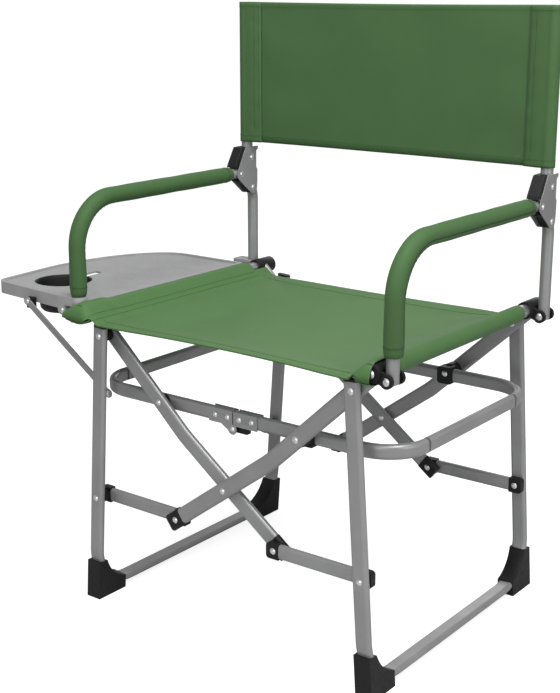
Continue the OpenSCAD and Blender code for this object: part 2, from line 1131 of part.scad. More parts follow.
// Brackets on the bottom of the left posts that carry the table
module table_bracket(yp, z0, z1) {
    p = lf(table_pivot);
    difference() {
        union() {
            translate([-arm_x, yp, z0])
                cylinder(h = z1 - z0, r = bracket_r);
            translate([-arm_x - bracket_r - 12, yp - 12, z0])
                cube([20, 24, z1 - z0]);
            pin_y(p, yp - 12, yp + 12, 8);
            translate([p[0] - 8, yp - 12, p[1]])
                cube([16, 24, z1 - p[1]]);
        }
        translate([-arm_x, yp, 465])
            cylinder(h = 30, r = arm_r + play);
        pin_y(lf([seat_x, seat_z]), yp - 30, yp + 30, joint_r + 2.5);
        pin_y(p, yp - 40, yp + 40, pin + play);
    }
}

module table_brackets() {
    color(moulded) {
        table_bracket(-front_post, 476, 490);
        table_bracket(rear_post, 473.6, 478.5);
    }
}

// Pins from the brackets into the table apron
module table_rivets() {
    p = lf(table_pivot);
    color(silver) {
        pin_y(p, -front_post - 12.2, -table_front + 6, pin);
        head_y(p, -front_post - 12.2, -1, 5);
        pin_y(p, table_rear - 6, rear_post + 12.2, pin);
        head_y(p, rear_post + 12.2, 1, 5);
    }
}

// Outer face and thickness of the brace, which passes in front of the hoop
brace_y = 197.9;
brace_t = 2.5;
block_y = 188.1;

// Flat bar from the table apron down to the corner of the hoop
module table_brace() {
    a = lf(brace_top);
    b = lf(brace_low);
    d = b - a;
    color(steel)
        translate([0, -brace_y + brace_t, 0])
            rotate([90, 0, 0])
                linear_extrude(height = brace_t)
                    difference() {
                        union() {
                            translate(a)
                                circle(r = 7);
                            translate(b)
                                circle(r = 7);
                            translate(a)
                                rotate(atan2(d[1], d[0]))
                                    translate([0, -5.5])
                                        square([norm(d), 11]);
                        }
                        translate(a)
                            circle(r = 2.5 + play);
                        translate(b)
                            circle(r = 2.5 + play);
                    }
}

// Black block on the apron behind the upper end of the brace
module brace_block() {
    color(black)
        difference() {
            translate([-brace_top[0] - 4, -brace_y + brace_t + 0.1, table_z - apron - 9])
                cube([16, brace_y - brace_t - 0.1 - block_y, 18]);
            pin_y(lf(brace_top), -brace_y, -block_y + 1, 2.5 + play);
        }
}

// Upper pin through brace, block and apron, lower rivet end in the brace
module brace_rivets() {
    color(silver) {
        rivet_y(lf(brace_top), -brace_y, -table_front + 22, 2.5, 4.5);
        pin_y(lf(brace_low), -brace_y, -brace_y + brace_t - 0.1, 2.5);
        translate([-brace_low[0], -brace_y, brace_low[1]])
            rotate([90, 0, 0])
                cylinder(h = 1.2, r1 = 4.5, r2 = 2.5);
    }
}

// ---------- output ----------

leg_frame_left();
leg_frame_right();
feet_left();
feet_right();
leg_plugs_left();
leg_plugs_right();
leg_rivets_left();
leg_rivets_right();
leg_spacers_left();
links_left();
links_right();
link_caps_left();
link_caps_right();
link_rivets_left();
link_rivets_right();
scissor_tubes_left();
scissor_tubes_right();
scissor_caps_left();
scissor_caps_right();
scissor_rivets_left();
scissor_rivets_right();
seat_tube_left();
seat_tube_right();
seat_joints_left();
seat_joints_right();
joint_rivets_left();
joint_rivets_right();
hoop_left();
hoop_right();
hoop_plates_left();
hoop_plates_right();
hoop_rivets_left();
hoop_rivets_right();
hoop_tongues();
hoop_saddles();
hoop_washers();
arm_tube_left();
arm_tube_right();
arm_pad_left();
arm_pad_right();
back_plates_left();
back_plates_right();
back_housing_left();
back_housing_right();
back_rivets_left();
back_rivets_right();
back_pole_left();
back_pole_right();
seat_panel();
seat_sleeve_left();
seat_sleeve_right();
back_panel();
table_top();
cup_holder();
table_brackets();
table_rivets();
table_brace();
brace_block();
brace_rivets();
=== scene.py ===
import json
import math

import bpy
import numpy as np
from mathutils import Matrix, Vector


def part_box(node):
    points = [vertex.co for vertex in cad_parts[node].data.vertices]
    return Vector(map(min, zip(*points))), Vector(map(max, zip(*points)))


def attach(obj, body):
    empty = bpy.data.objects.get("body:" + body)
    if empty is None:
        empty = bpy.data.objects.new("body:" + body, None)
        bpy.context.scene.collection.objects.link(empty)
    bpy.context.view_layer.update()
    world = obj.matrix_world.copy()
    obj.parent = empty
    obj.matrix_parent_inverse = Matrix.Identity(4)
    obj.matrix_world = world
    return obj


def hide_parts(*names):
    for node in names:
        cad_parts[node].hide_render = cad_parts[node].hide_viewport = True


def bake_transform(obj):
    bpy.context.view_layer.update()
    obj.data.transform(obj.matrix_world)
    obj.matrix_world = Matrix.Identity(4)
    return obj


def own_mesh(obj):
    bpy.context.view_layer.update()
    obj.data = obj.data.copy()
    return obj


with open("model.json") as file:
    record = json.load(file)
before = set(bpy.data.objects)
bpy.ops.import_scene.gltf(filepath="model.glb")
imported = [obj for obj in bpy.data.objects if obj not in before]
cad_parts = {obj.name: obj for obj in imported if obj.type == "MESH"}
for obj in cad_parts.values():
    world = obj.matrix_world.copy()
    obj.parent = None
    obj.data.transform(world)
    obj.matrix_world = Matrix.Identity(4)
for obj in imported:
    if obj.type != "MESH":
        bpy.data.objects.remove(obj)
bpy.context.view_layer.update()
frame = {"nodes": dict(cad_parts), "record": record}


def corner(node):
    lo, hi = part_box(node)
    return np.array(lo), np.array(hi)


def smooth(t):
    """Soft step from 0 at t = 0 to 1 at t = 1."""
    t = np.clip(t, 0, 1)
    return t * t * (3 - 2 * t)


def dome(t):
    """1 at t = 0, falling along a cosine to 0 at t = -1 and t = 1."""
    return np.cos(np.clip(t, -1, 1) * math.pi / 2)


def on_circle(centre, radius, degrees):
    a = math.radians(degrees)
    return centre + radius * np.array([math.cos(a), math.sin(a)])


def arc_length(points):
    """Distance of every point from the first one, along the polyline."""
    return np.concatenate([[0], np.cumsum(np.linalg.norm(np.diff(points, axis=0), axis=1))])


def side_name(side):
    return "right" if side > 0 else "left"


# ---------------------------------------------------------------- materials

class Nodes:
    """Shorthand for building one material's node tree."""

    def __init__(self, name, base, rough, metallic=0.0, spec=0.5):
        self.m = bpy.data.materials.new(name)
        self.m.use_nodes = True
        self.t = self.m.node_tree
        self.b = self.t.nodes["Principled BSDF"]
        self.b.inputs["Base Color"].default_value = (*base, 1)
        self.b.inputs["Roughness"].default_value = rough
        self.b.inputs["Metallic"].default_value = metallic
        self.b.inputs["Specular IOR Level"].default_value = spec

    def new(self, kind):
        return self.t.nodes.new(kind)

    def link(self, a, b):
        self.t.links.new(a, b)

    def coords(self, which):
        return self.new("ShaderNodeTexCoord").outputs[which]

    def noise(self, vec, scale, detail=3.0, rough=0.5):
        n = self.new("ShaderNodeTexNoise")
        n.inputs["Scale"].default_value = scale
        n.inputs["Detail"].default_value = detail
        n.inputs["Roughness"].default_value = rough
        self.link(vec, n.inputs["Vector"])
        return n.outputs[0]

    def math(self, op, a, b=None):
        n = self.new("ShaderNodeMath")
        n.operation = op
        self.put(n.inputs[0], a)
        if b is not None:
            self.put(n.inputs[1], b)
        return n.outputs[0]

    def ramp(self, value, lo, hi, out_lo, out_hi):
        n = self.new("ShaderNodeMapRange")
        self.link(value, n.inputs["Value"])
        for k, v in (("From Min", lo), ("From Max", hi), ("To Min", out_lo), ("To Max", out_hi)):
            n.inputs[k].default_value = v
        return n.outputs[0]

    def mix(self, fac, a, b):
        n = self.new("ShaderNodeMix")
        n.data_type = "RGBA"
        for s in n.inputs:
            if s.type == "VALUE" and s.name == "Factor":
                self.put(s, fac)
            if s.type == "RGBA" and s.name in ("A", "B"):
                self.put(s, a if s.name == "A" else b)
        return [s for s in n.outputs if s.type == "RGBA"][0]

    def put(self, socket, x):
        """Link x to the socket, or set it as the socket's value."""
        if isinstance(x, tuple):
            socket.default_value = (*x, 1)
        elif isinstance(x, (int, float)):
            socket.default_value = x
        else:
            self.link(x, socket)

    def bump(self, height, strength, distance, normal=None):
        n = self.new("ShaderNodeBump")
        n.inputs["Strength"].default_value = strength
        n.inputs["Distance"].default_value = distance
        self.link(height, n.inputs["Height"])
        if normal is not None:
            self.link(normal, n.inputs["Normal"])
        return n.outputs[0]

    def out(self, key, value):
        self.link(value, self.b.inputs[key])

    def clouded(self, noise, base, dark, light):
        """Base colour that wanders between two shades of base with the noise."""
        fac = self.ramp(noise, 0.35, 0.65, 0, 1)
        self.out("Base Color", self.mix(fac, shade(base, dark), shade(base, light)))


def shade(c, k):
    return tuple(min(1, x * k) for x in c)


def paint_material(name, base, rough, metallic):
    """Powder-coated steel: fine orange peel, faint clouds of colour, patches of gloss."""
    n = Nodes(name, base, rough, metallic)
    p = n.coords("Object")
    n.clouded(n.noise(p, scale=14, detail=4), base, 0.93, 1.06)
    scuff = n.noise(p, scale=60, detail=4)
    n.out("Roughness", n.ramp(scuff, 0.3, 0.7, rough - 0.03, rough + 0.05))
    peel = n.noise(p, scale=1500, detail=2)
    n.out("Normal", n.bump(peel, strength=0.06, distance=0.0001))
    return n.m


def metal_material(name, base, rough, streak):
    """Bare metal; noise scaled by streak gives marks in its colour, gloss and relief."""
    n = Nodes(name, base, rough, metallic=1.0)
    p = n.coords("Object")
    stretch = n.new("ShaderNodeMapping")
    stretch.inputs["Scale"].default_value = streak
    n.link(p, stretch.inputs["Vector"])
    lines = n.noise(stretch.outputs[0], scale=40, detail=5, rough=0.6)
    n.out("Roughness", n.ramp(lines, 0.3, 0.7, rough - 0.08, rough + 0.12))
    n.clouded(lines, base, 0.85, 1.05)
    n.out("Normal", n.bump(lines, strength=0.08, distance=0.0002))
    return n.m


def plastic_material(name, base, rough, grain):
    """Moulded plastic with a fine grain, faint clouds of colour and patches of gloss."""
    n = Nodes(name, base, rough, spec=0.3)
    p = n.coords("Object")
    cells = n.new("ShaderNodeTexVoronoi")
    cells.inputs["Scale"].default_value = grain
    n.link(p, cells.inputs["Vector"])
    n.clouded(n.noise(p, scale=30, detail=4), base, 0.96, 1.04)
    wear = n.noise(p, scale=200, detail=4)
    n.out("Roughness", n.ramp(wear, 0.3, 0.7, rough - 0.05, rough + 0.08))
    n.out("Normal", n.bump(cells.outputs["Distance"], strength=0.16, distance=0.0003))
    return n.m


def fabric_material(name, base, pitch=0.0011, rough=0.62):
    """Plain weave: threads one pitch wide, in metres of UV, that cross over and under."""
    n = Nodes(name, base, rough, spec=0.18)
    uv = n.coords("UV")
    split = n.new("ShaderNodeSeparateXYZ")
    n.link(uv, split.inputs[0])
    k = 2 * math.pi / (2 * pitch)
    warp = n.math("SINE", n.math("MULTIPLY", split.outputs[0], k))
    weft = n.math("SINE", n.math("MULTIPLY", split.outputs[1], k))
    weave = n.math("MULTIPLY", warp, weft)
    threads = n.math("ADD", n.math("ABSOLUTE", warp), n.math("ABSOLUTE", weft))
    height = n.math("ADD", n.math("MULTIPLY", weave, 0.5), n.math("MULTIPLY", threads, 0.35))
    slub = n.noise(uv, scale=900, detail=3, rough=0.6)
    height = n.math("ADD", height, n.math("MULTIPLY", slub, 0.5))
    cloud = n.noise(uv, scale=18, detail=5, rough=0.55)
    thread = n.mix(n.ramp(weave, -1, 1, 0, 1), shade(base, 0.88), shade(base, 1.10))
    tone = n.mix(n.ramp(cloud, 0.3, 0.7, 0, 1), shade(base, 0.94), shade(base, 1.05))
    n.out("Base Color", n.mix(0.5, thread, tone))
    crease = n.noise(uv, scale=9, detail=4)
    soft = n.bump(crease, strength=0.18, distance=0.004)
    n.out("Normal", n.bump(height, strength=0.35, distance=0.00035, normal=soft))
    n.out("Roughness", n.ramp(slub, 0.3, 0.7, rough - 0.05, rough + 0.07))
    n.b.inputs["Sheen Weight"].default_value = 0.03
    n.b.inputs["Sheen Roughness"].default_value = 0.5
    return n.m


SEAT_GREEN = (0.065, 0.144, 0.048)
# same fabric as the seat; the back's darker green is painted shade for its upright face, which gets less
# light
BACK_GREEN_PAINTED_SHADE = (0.051, 0.111, 0.040)
# same fabric as the seat; the arm pads' darker green is painted shade for their less lit sides
PAD_GREEN_PAINTED_SHADE = (0.049, 0.109, 0.037)
THREAD_PITCH, THREAD_ROUGH = 0.0003, 0.7
MAT = {
    "frame_paint": paint_material("frame_paint", (0.285, 0.285, 0.288), rough=0.34, metallic=0.40),
    "rivet_metal": metal_material("rivet_metal", (0.80, 0.80, 0.80), rough=0.28, streak=(1, 1, 1)),
    "bare_tube": metal_material("bare_tube", (0.62, 0.62, 0.63), rough=0.32, streak=(30, 0.6, 30)),
    "black_plastic": plastic_material("black_plastic", (0.006, 0.006, 0.0065), rough=0.50, grain=1400),
    "grey_plastic": plastic_material("grey_plastic", (0.30, 0.30, 0.302), rough=0.50, grain=1200),
    "seat_fabric": fabric_material("seat_fabric", SEAT_GREEN),
    # the back's fabric carries painted shade in its darker green
    "back_fabric": fabric_material("back_fabric", BACK_GREEN_PAINTED_SHADE),
    # the arm pads' fabric carries painted shade in its darker green
    "pad_fabric": fabric_material("pad_fabric", PAD_GREEN_PAINTED_SHADE, pitch=0.0009),
    "seam_thread": fabric_material("seam_thread", (0.016, 0.036, 0.012), THREAD_PITCH, THREAD_ROUGH),
    "thread": fabric_material("thread", (0.044, 0.098, 0.033), THREAD_PITCH, THREAD_ROUGH),
}
SLOTS = {s["node"]: s["material_slot"] for s in frame["record"]["subparts"]}


# ---------------------------------------------------------------- mesh helpers

def new_mesh(name, verts, faces, uvs, material):
    """Smooth-shaded object with one UV per vertex and one material."""
    me = bpy.data.meshes.new(name)
    me.from_pydata([tuple(v) for v in verts], [], faces)
    me.update()
    layer = me.uv_layers.new(name="UVMap")
    loops = np.array([uvs[i] for f in faces for i in f], np.float32)
    layer.data.foreach_set("uv", loops.ravel())
    ob = bpy.data.objects.new(name, me)
    bpy.context.scene.collection.objects.link(ob)
    for p in me.polygons:
        p.use_smooth = True
    me.materials.append(MAT[material])
    return ob


def apply_modifiers(ob):
    bpy.context.view_layer.update()
    dg = bpy.context.evaluated_depsgraph_get()
    done = ob.evaluated_get(dg)
    me = bpy.data.meshes.new_from_object(done, preserve_all_data_layers=True, depsgraph=dg)
    old = ob.data
    ob.modifiers.clear()
    ob.data = me
    bpy.data.meshes.remove(old)


def cloth(name, P, UV, material, thick, keep=None):
    """Grid of points to a fabric sheet with thickness; keep says which cells exist, by default all."""
    nu, nv = P.shape[:2]
    used = {}
    verts, uvs, faces = [], [], []

    def vid(i, j):
        if (i, j) not in used:
            used[(i, j)] = len(verts)
            verts.append(P[i, j])
            uvs.append(UV[i, j])
        return used[(i, j)]

    for i in range(nu - 1):
        for j in range(nv - 1):
            if keep is None or keep[i, j]:
                faces.append((vid(i, j), vid(i + 1, j), vid(i + 1, j + 1), vid(i, j + 1)))
    ob = new_mesh(name, verts, faces, uvs, material)
    m = ob.modifiers.new("thick", "SOLIDIFY")
    m.thickness = thick
    m.offset = 0
    m.use_even_offset = False
    apply_modifiers(ob)
    for p in ob.data.polygons:
        p.use_smooth = True
    return ob


def grid_normals(P):
    """Unit normal at every point of a grid."""
    du = np.gradient(P, axis=0)
    dv = np.gradient(P, axis=1)
    n = np.cross(du, dv)
    return n / np.maximum(np.linalg.norm(n, axis=2, keepdims=True), 1e-12)


def stitches(name, lines, length=0.0034, gap=0.0011, r=0.00036, material="thread"):
    """Short raised thread capsules along polylines; each line is (points, normals)."""
    verts, faces, uvs = [], [], []
    ring = 5
    profile = ((-0.3, 0.55), (0.6, 1.0), (-0.3, 0.55))  # lift and size of each ring, in radii
    for pts, nrm in lines:
        s = arc_length(pts)
        at = 0.5 * gap
        while at + length < s[-1]:
            spots = []
            for q in (at, at + length * 0.5, at + length):
                p = np.array([np.interp(q, s, pts[:, k]) for k in range(3)])
                n = np.array([np.interp(q, s, nrm[:, k]) for k in range(3)])
                spots.append((p, n / np.linalg.norm(n)))
            d = spots[2][0] - spots[0][0]
            d = d / np.linalg.norm(d)
            base = len(verts)
            for k, (lift, size) in enumerate(profile):
                p, n = spots[k]
                side = np.cross(d, n)
                c = p + n * r * lift
                for a in range(ring):
                    t = 2 * math.pi * a / ring
                    verts.append(c + r * size * (math.cos(t) * side + math.sin(t) * n))
                    uvs.append((at + k * 0.001, t * 0.001))
            for k in range(2):
                for a in range(ring):
                    b = (a + 1) % ring
                    faces.append((base + k * ring + a, base + k * ring + b,
                                  base + (k + 1) * ring + b, base + (k + 1) * ring + a))
            faces.append(tuple(base + a for a in reversed(range(ring))))
            faces.append(tuple(base + 2 * ring + a for a in range(ring)))
            at += length + gap
    return new_mesh(name, verts, faces, uvs, material)


def polyline(P, N, lo, hi, i=None, j=None, lift=0.0):
    """Column i or row j of a grid as (points, normals), raised by lift."""
    pts = P[i, lo:hi] if i is not None else P[lo:hi, j]
    nrm = N[i, lo:hi] if i is not None else N[lo:hi, j]
    return pts + nrm * lift, nrm


# ---------------------------------------------------------------- sizes read from the CAD

tube_lo, tube_hi = corner("seat_tube_left")
TUBE_X = abs(tube_lo[0] + tube_hi[0]) / 2
TUBE_Z = (tube_lo[2] + tube_hi[2]) / 2
TUBE_R = (tube_hi[0] - tube_lo[0]) / 2
sleeve_lo, sleeve_hi = corner("seat_sleeve_left")
SEAT_FRONT, SLEEVE_REAR = sleeve_lo[1], sleeve_hi[1]
PANEL_REAR = corner("seat_panel")[1][1]


# ---------------------------------------------------------------- seat fabric

# Points of half a section: from the lower seam to the loop, round the tube, down to the flat, the flat.
SEAM_POINTS, LOOP_POINTS, FALL_POINTS, FLAT_POINTS = 4, 37, 12, 46
LOOP_END = SEAM_POINTS + LOOP_POINTS
SEAM_I = LOOP_END + 5  # column beside which the sleeve is sewn to the flat
LOOP_FROM, LOOP_TO = -38, -308  # degrees round the left tube: inner side, below, outside, top
FLAT_X, FLAT_DROP = 0.226, 0.0121  # where the flat starts, and how far it lies below the tube's axis
CUT_FRONT, CUT_REAR = -0.2243, -0.1935  # only the top of the tube is covered here, for the front joint
MOUTH_Y = -0.2285  # in front of this the sleeve closes over the end of the tube
SEWN_FRONT_Y = -0.2195  # stitching of the front hem
REAR_ROWS = 8  # rows of the flat behind the end of the sleeves
FOLD_CORNERS = ((-0.235, -0.225, 0.3), (0.235, -0.225, 1.1), (-0.235, 0.19, 2.0), (0.235, 0.19, 0.7))
SEAM_LIFT = 0.0008  # thread above the middle of the cloth
CLOTH, BACK_CLOTH, PAD_CLOTH, HEM_CLOTH = 0.0011, 0.0016, 0.0010, 0.0010  # thicknesses
SLEEVE_GAP, SLEEVE_LOOSE = 0.0022, 0.0040  # from the tube to the cloth, and more at the front end
SAG, FOLD_HEIGHT, CREASE_HEIGHT = 0.015, 0.0015, 0.0007  # of the flat
HEM_DROP, BOW_UP, BOW_BACK = 0.0010, 0.0030, 0.012  # of the front edge
HOOD_REACH, HOOD_WIDE, HOOD_UP = 0.0065, 0.014, 0.003  # forward, outward and up at the tip of a hood


def seat_section(y):
    """Left half of the fabric's cross-section at depth y, from the lower seam to the middle."""
    wider = smooth((-0.168 - y) / 0.024)  # the sleeve is looser towards its front end
    r = TUBE_R + SLEEVE_GAP + SLEEVE_LOOSE * wider
    c = np.array([-TUBE_X, TUBE_Z])
    seam = np.array([-0.2395, TUBE_Z - 0.0045])
    start = on_circle(c, r, LOOP_FROM)
    pts = [seam * (1 - t) + start * t for t in np.linspace(0, 1, SEAM_POINTS + 1)[:-1]]
    pts += [on_circle(c, r, a) for a in np.linspace(LOOP_FROM, LOOP_TO, LOOP_POINTS)]
    # a Bezier curve leaves the loop along its tangent and ends on the flat
    p0 = on_circle(c, r, LOOP_TO + 360)
    p1 = p0 + 0.012 * np.array([0.788, -0.616])
    p2 = np.array([-0.2360, TUBE_Z - 0.0095])
    p3 = np.array([-FLAT_X, TUBE_Z - FLAT_DROP])
    for t in np.linspace(0, 1, FALL_POINTS + 1)[1:]:
        pts.append((1 - t) ** 3 * p0 + 3 * (1 - t) ** 2 * t * p1 + 3 * (1 - t) * t * t * p2 + t ** 3 * p3)
    for x in np.linspace(-FLAT_X, 0, FLAT_POINTS + 1)[1:]:
        sag = 0.0016 * math.cos(math.pi / 2 * x / FLAT_X)
        pts.append(np.array([x, TUBE_Z - FLAT_DROP - sag]))
    return np.array(pts)


def seat_rows():
    """Depth of every row; the rows are closest round the cut for the front joint."""
    return np.concatenate([
        np.linspace(SEAT_FRONT - 0.0015, -0.224, 17),
        np.linspace(-0.2235, -0.190, 13)[1:],
        np.linspace(-0.190, SLEEVE_REAR, 75)[1:],
        np.linspace(SLEEVE_REAR, PANEL_REAR + 0.002, REAR_ROWS + 1)[1:]])


def shape_flat(P):
    """Sag, folds, creases, front hem and front edge of the cloth between the tubes."""
    x, y, z = P[:, :, 0], P[:, :, 1], P[:, :, 2]
    inside = smooth((0.232 - np.abs(x)) / 0.09)
    mid_y = (SEAT_FRONT + PANEL_REAR) / 2
    half_y = (PANEL_REAR - SEAT_FRONT) / 2
    g = dome((y - mid_y) / half_y)
    z -= inside * (SAG * g ** 0.9)
    # tension folds that fan out from the corners
    for corner_x, corner_y, phase in FOLD_CORNERS:
        dx, dy = x - corner_x, y - corner_y
        d = np.hypot(dx, dy)
        angle = np.arctan2(dy, dx * np.sign(-corner_x))
        z += inside * FOLD_HEIGHT * np.sin(angle * 7 + phase) * np.exp(-d / 0.09) * smooth(d / 0.04)
    # soft sitting creases across the middle
    z += inside * CREASE_HEIGHT * np.sin(x * 46 + 1.3 * np.sin(y * 17)) * g
    # the doubled front hem hangs a little lower
    hem = smooth((SEAT_FRONT + 0.0085 - y) / 0.009) * smooth((0.243 - np.abs(x)) / 0.012)
    z -= HEM_DROP * hem
    # the front edge is pulled back and up between the tubes
    bow = dome(x / 0.25)
    z += BOW_UP * bow * smooth((-0.15 - y) / 0.08)
    y += BOW_BACK * bow * smooth((-0.10 - y) / 0.13)


def shape_hoods(P, front):
    """In front of the posts each sleeve closes like a hood over the end of the seat tube."""
    x, y, z = P[:, :, 0], P[:, :, 1], P[:, :, 2]
    t = np.clip((MOUTH_Y - y) / (MOUTH_Y - front), 0, 1)
    hood = smooth((np.abs(x) - 0.234) / 0.014)
    lip = TUBE_Z - 0.0105
    y -= hood * HOOD_REACH * np.sin(t * math.pi / 2)
    close = 1 - np.maximum(np.cos(t * math.pi / 2), 0) ** 0.55
    z += hood * close * (lip - 0.0015 * (z < lip) - z)
    # the outer half of the left hood is drawn outwards and up
    out = np.clip(np.maximum(0, -TUBE_X - 0.002 - x) / 0.014, 0, 1.2)
    x -= out * HOOD_WIDE * smooth(t)
    z += out * HOOD_UP * smooth(t)


def seat_grid():
    """Points of the seat cloth: columns along the section, rows along the depth."""
    ys = seat_rows()
    half = np.array([seat_section(y) for y in ys])
    full = np.concatenate([half, half[:, ::-1][:, 1:] * np.array([-1, 1])], axis=1)
    P = np.zeros((full.shape[1], len(ys), 3))
    P[:, :, 0] = full[:, :, 0].T
    P[:, :, 2] = full[:, :, 1].T
    P[:, :, 1] = ys[None, :]
    shape_flat(P)
    shape_hoods(P, ys[0])
    return P, ys


def seat_cells(nu, nv):
    """Which cells of the grid are cloth: the sleeves have cuts and end before the flat does."""
    keep = np.ones((nu - 1, nv - 1), bool)
    for i in range(nu - 1):
        k = min(i, nu - 2 - i)
        # 90 below the tube, 180 outside it, 270 on top
        angle = -LOOP_FROM + (k - SEAM_POINTS) * (LOOP_FROM - LOOP_TO) / (LOOP_POINTS - 1)
        for j in range(nv - 1):
            y = (YS[j] + YS[j + 1]) / 2
            if k < LOOP_END - 1:
                if y > SLEEVE_REAR:
                    keep[i, j] = False
                elif y < CUT_REAR:
                    over = angle > 250
                    under = y < CUT_FRONT and angle < 108
                    left_hood = y < MOUTH_Y and i < LOOP_END
                    keep[i, j] = over or under or left_hood
            elif y > SLEEVE_REAR and k < LOOP_END + 3:
                keep[i, j] = False
    return keep


P, YS = seat_grid()
nu, nv = P.shape[:2]
N = grid_normals(P)
if N[nu // 2, nv // 2, 2] < 0:  # the normals point up
    N = -N
UV = np.zeros((nu, nv, 2))
UV[:, :, 0] = arc_length(P[:, 60])[:, None]
UV[:, :, 1] = YS[None, :]
seat = cloth("seat_fabric_cover", P, UV, "seat_fabric", CLOTH, seat_cells(nu, nv))
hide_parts("seat_panel", "seat_sleeve_left", "seat_sleeve_right")

# rows of the hem stitching, and two lines of stitching along each sleeve
front_row = [j for j, y in enumerate(YS) if y < SEWN_FRONT_Y][-1]
rear_row = [j for j, y in enumerate(YS) if y > SLEEVE_REAR][0]
lines = []
for i in (SEAM_I - 1, SEAM_I + 2):
    for column in (i, nu - 1 - i):
        lines.append(polyline(P, N, i=column, lo=1, hi=nv - REAR_ROWS, lift=SEAM_LIFT))
for j in (front_row, rear_row + 1):
    lines.append(polyline(P, N, j=j, lo=SEAM_I + 3, hi=nu - SEAM_I - 3, lift=SEAM_LIFT))
seat_thread = stitches("seat_stitching", lines)


def seat_hem(name, j_lo, j_hi):
    """The folded-under second layer of cloth along the front or rear edge."""
    part = np.s_[SEAM_I + 4:nu - SEAM_I - 4, j_lo:j_hi]
    return cloth(name, P[part] - N[part] * 0.0012, UV[part], "seat_fabric", HEM_CLOTH)


front_hem = seat_hem("seat_hem_front", 0, front_row + 1)
rear_hem = seat_hem("seat_hem_rear", rear_row, nv)
for o in (seat, seat_thread, front_hem, rear_hem):
    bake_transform(o)


# ---------------------------------------------------------------- back fabric

pole_lo, pole_hi = corner("back_pole_left")
POLE_X = abs(pole_lo[0] + pole_hi[0]) / 2
POLE_Y = (pole_lo[1] + pole_hi[1]) / 2
POLE_R = (pole_hi[0] - pole_lo[0]) / 2
back_lo, back_hi = corner("back_panel")
BACK_LOW, BACK_TOP = back_lo[2], back_hi[2]
STITCH_IN = 0.033  # from a pole's axis to the line where its pocket is sewn to the sheet
STITCH_X = POLE_X - STITCH_IN
SHEET_Y = POLE_Y - 0.004
FINE = 0.022  # height of the finer rows at the top and bottom, for the hems
ZS = np.concatenate([
    np.linspace(BACK_LOW, BACK_LOW + FINE, 7),
    np.linspace(BACK_LOW + FINE, BACK_TOP - FINE, 50)[1:],
    np.linspace(BACK_TOP - FINE, BACK_TOP, 7)[1:]])
LOW_HEM, TOP_HEM = 0.012, 0.009  # heights of the hems
BACK_HEMS = ((BACK_TOP - TOP_HEM, 1), (BACK_LOW + LOW_HEM, -1))  # inner edge; 1: the hem is above it
HEM_ROWS = [int(np.argmin(abs(ZS - z))) for z in (BACK_TOP - 0.0085, BACK_LOW + 0.0115)]
BACK_SAG, SLACK, SLACK_WAVE = 0.0060, 0.0008, 0.0006  # of the sheet, towards the rear
LOW_CURL, TOP_DIP = 0.0035, 0.0012  # of the lower edge to the rear, of the top edge downwards
POCKET_FROM, POCKET_TO = -72, -288  # degrees round the left pole: front, outside, rear
POCKET_GAP = 0.0013  # from the pole to the middle of the cloth


def sag_back(x, z):
    """How far the middle of the back is pushed to the rear."""
    h = 0.75 + 0.25 * np.cos((z - (BACK_LOW + BACK_TOP) / 2) / (BACK_TOP - BACK_LOW) * math.pi)
    return BACK_SAG * dome(x / STITCH_X) * h


def back_sheet():
    """Points of the sheet between the pockets: columns along X, rows along the height."""
    xs = np.linspace(-STITCH_X, STITCH_X, 93)
    Q = np.zeros((len(xs), len(ZS), 3))
    Q[:, :, 0] = xs[:, None]
    Q[:, :, 2] = ZS[None, :]
    x, y, z = Q[:, :, 0], Q[:, :, 1], Q[:, :, 2]
    y += SHEET_Y + sag_back(x, z)
    # slack folds, stronger towards the sides, that fade out at the stitching
    edge = smooth((STITCH_X - np.abs(x)) / 0.02)
    near_sides = smooth((0.14 - np.abs(np.abs(x) - 0.25)) / 0.14)
    y += edge * SLACK * np.sin(z * 60 + 2.0 * np.sin(x * 9)) * near_sides
    y += edge * SLACK_WAVE * np.sin(x * 30 + 1.7 * np.sin(z * 14))
    # doubled hems stand slightly forward, and the lower edge curls to the rear
    for hem_z, up in BACK_HEMS:
        y -= 0.0004 * smooth(up * (z - hem_z) / 0.003)
    y += LOW_CURL * smooth((BACK_LOW + LOW_HEM - z) / LOW_HEM) ** 2
    # the top edge hangs a little in the middle
    z -= TOP_DIP * dome(x / STITCH_X) * smooth((z - BACK_TOP + 0.05) / 0.05)
    return Q, xs


B, XS = back_sheet()
BUV = np.zeros((*B.shape[:2], 2))
BUV[:, :, 0] = XS[:, None]
BUV[:, :, 1] = ZS[None, :]
back = cloth("back_fabric_sheet", B, BUV, "back_fabric", BACK_CLOTH)
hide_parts("back_panel")
BN = grid_normals(B)
if BN[40, 30, 1] > 0:  # the normals point to the front
    BN = -BN
back_lines = [polyline(B, BN, j=j, lo=1, hi=-1, lift=0.0009) for j in HEM_ROWS]
back_thread = stitches("back_hem_stitching", back_lines, r=0.00028)


def pocket_path():
    """Section of the left pocket: from the stitching along the front, round the pole and back."""
    c = np.array([-POLE_X, POLE_Y])
    r = POLE_R + POCKET_GAP
    front = np.array([-STITCH_X + 0.0035, SHEET_Y - 0.0013])
    rear = np.array([-STITCH_X + 0.0035, SHEET_Y + 0.0013])
    path = []
    for t in np.linspace(0, 1, 9)[:-1]:
        q = front * (1 - t) + on_circle(c, r, POCKET_FROM) * t
        q[1] -= 0.0012 * math.sin(math.pi * t)
        path.append(q)
    path += [on_circle(c, r, a) for a in np.linspace(POCKET_FROM, POCKET_TO, 25)]
    path += [on_circle(c, r, POCKET_TO) * (1 - t) + rear * t for t in np.linspace(0, 1, 9)[1:]]
    return np.array(path)


